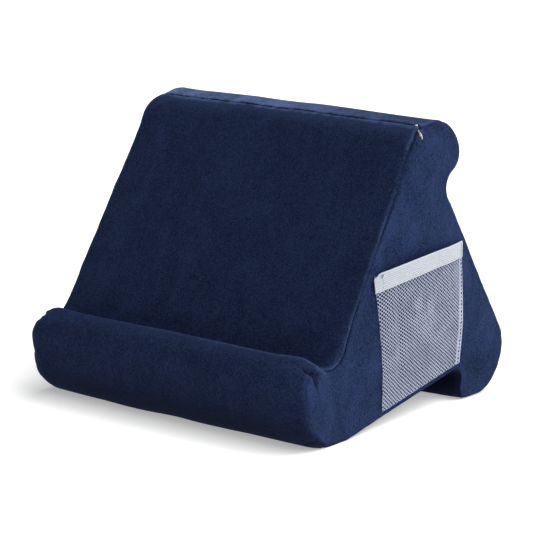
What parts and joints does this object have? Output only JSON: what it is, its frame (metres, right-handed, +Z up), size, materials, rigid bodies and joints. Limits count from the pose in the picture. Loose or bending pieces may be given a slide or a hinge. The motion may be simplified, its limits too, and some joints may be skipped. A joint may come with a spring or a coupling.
{
  "type": "tablet pillow stand",
  "caption": "Plush wedge cushion with rounded lips at front, top and back that props a tablet, zipped along its crest, with a net pocket on one end.",
  "frame": {"origin": "middle of the whole stand's footprint, on the surface that it stands on", "axes": "+X to the viewer's right, towards the end with the pocket; -Y to the front, where the tablet leans; +Z up"},
  "size_m": [0.3084, 0.2776, 0.2384],
  "materials": {
    "plush": "short brushed navy pile with a soft sheen",
    "net": "pale grey knitted net",
    "elastic": "pale grey ribbed elastic",
    "zip_chain": "dark navy coil",
    "zip_metal": "worn bright metal"
  },
  "bodies": {
    "root": {"cushion": "plush", "zip_chain": "zip_chain", "zip_slider": "zip_metal", "zip_pull": "zip_metal", "pocket_net": "net", "pocket_elastic": "elastic"}
  },
  "joints": []
}
